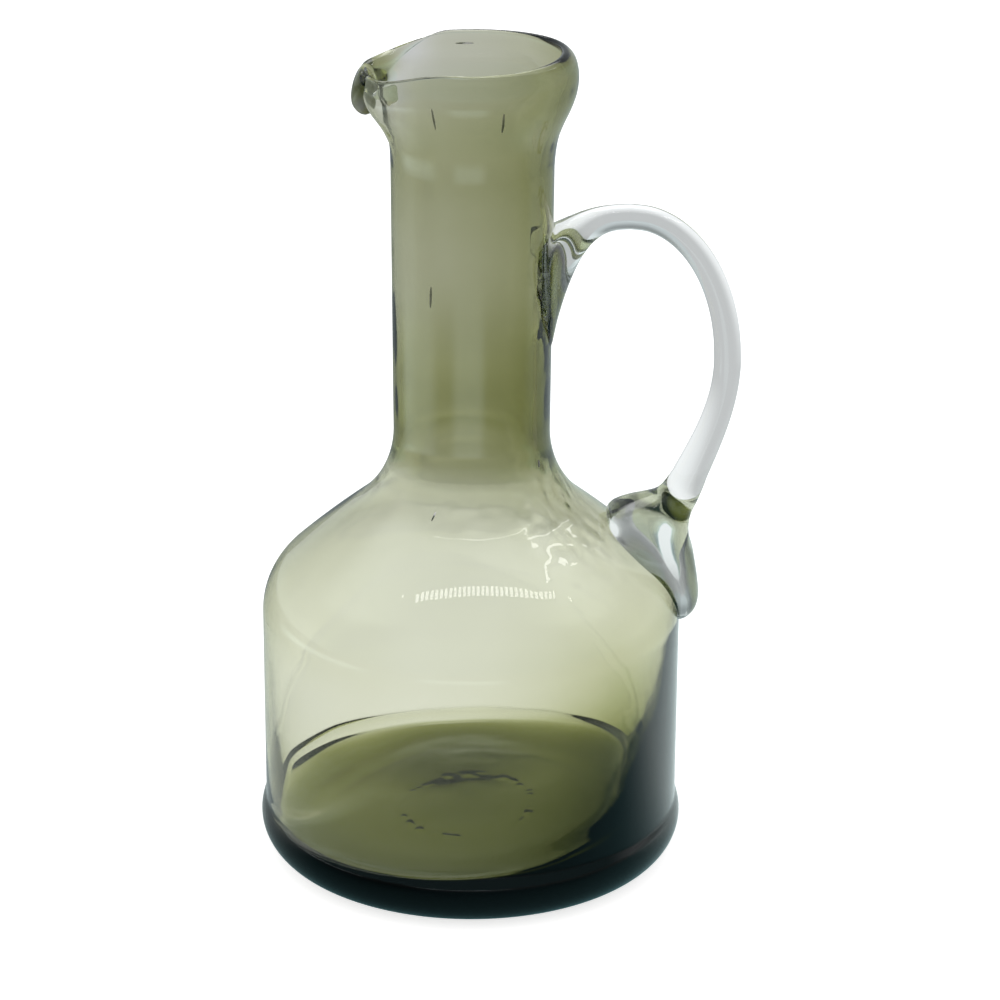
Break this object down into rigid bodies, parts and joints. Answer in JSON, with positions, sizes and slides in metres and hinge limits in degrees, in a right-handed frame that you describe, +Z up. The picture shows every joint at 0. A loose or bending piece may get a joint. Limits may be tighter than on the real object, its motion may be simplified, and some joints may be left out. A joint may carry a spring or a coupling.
{
  "type": "water carafe",
  "caption": "Free-blown smoke glass carafe with a wide round body, a straight neck, a folded pouring lip and an applied clear glass handle",
  "frame": {"origin": "centre of the ring on which the foot rests, on the table plane and on the axis of the neck", "axes": "+Z up along the axis of body and neck, +X toward the handle, -X toward the spout, +Y to the far side when the spout is on the left"},
  "size_m": [0.1417, 0.127, 0.2455],
  "materials": {
    "smoke_glass": "fire-polished, grey olive smoke glass, darker where it is thick",
    "clear_glass": "fire-polished, clear glass with a faint grey cast"
  },
  "bodies": {
    "root": {"glass_body": "smoke_glass", "glass_handle": "clear_glass"}
  },
  "joints": []
}
